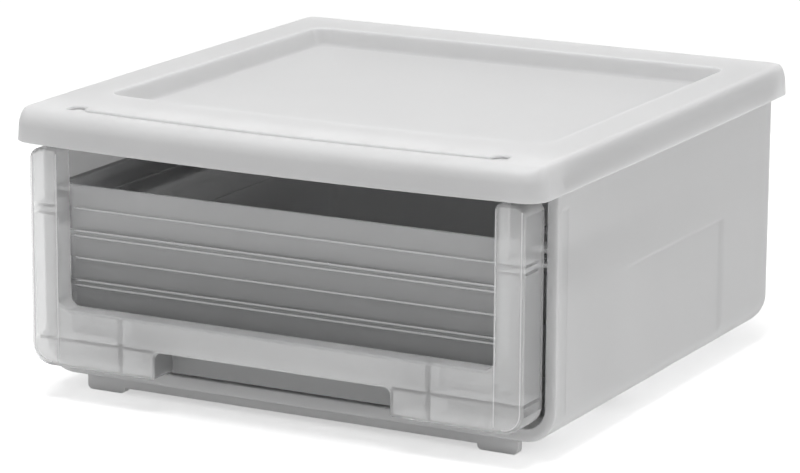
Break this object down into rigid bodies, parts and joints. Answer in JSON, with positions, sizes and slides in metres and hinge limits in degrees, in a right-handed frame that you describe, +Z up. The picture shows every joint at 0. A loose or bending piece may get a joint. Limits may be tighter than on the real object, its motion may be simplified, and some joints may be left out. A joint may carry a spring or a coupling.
{
  "type": "stackable drawer box",
  "caption": "Low stackable drawer box for small parts: a footed casing, a recessed cover with a bowed front, and a ribbed tub behind a clear U-shaped front with a finger notch.",
  "frame": {"origin": "centre of the whole box's plan, at the bottom of the feet", "axes": "+X to the right seen from the front, +Y to the rear, -Y out of the drawer front, +Z up"},
  "size_m": [0.405, 0.43, 0.203],
  "materials": {
    "casing_plastic": "fine satin moulding",
    "cover_plastic": "fine satin moulding",
    "tub_plastic": "translucent natural polypropylene",
    "front_plastic": "translucent frosted polypropylene"
  },
  "bodies": {
    "casing_body": {"casing": "casing_plastic", "top_cover": "cover_plastic", "left_rail": "casing_plastic", "right_rail": "casing_plastic", "front_foot": "casing_plastic", "middle_left_foot": "casing_plastic", "middle_right_foot": "casing_plastic", "rear_left_foot": "casing_plastic", "rear_right_foot": "casing_plastic"},
    "drawer_body": {"drawer_tub": "tub_plastic", "drawer_front": "front_plastic"}
  },
  "joints": [
    {"name": "drawer_slide", "type": "slide", "parent": "casing_body", "child": "drawer_body", "axis": [0, -1, 0], "range_m": [0, 0.3]}
  ]
}
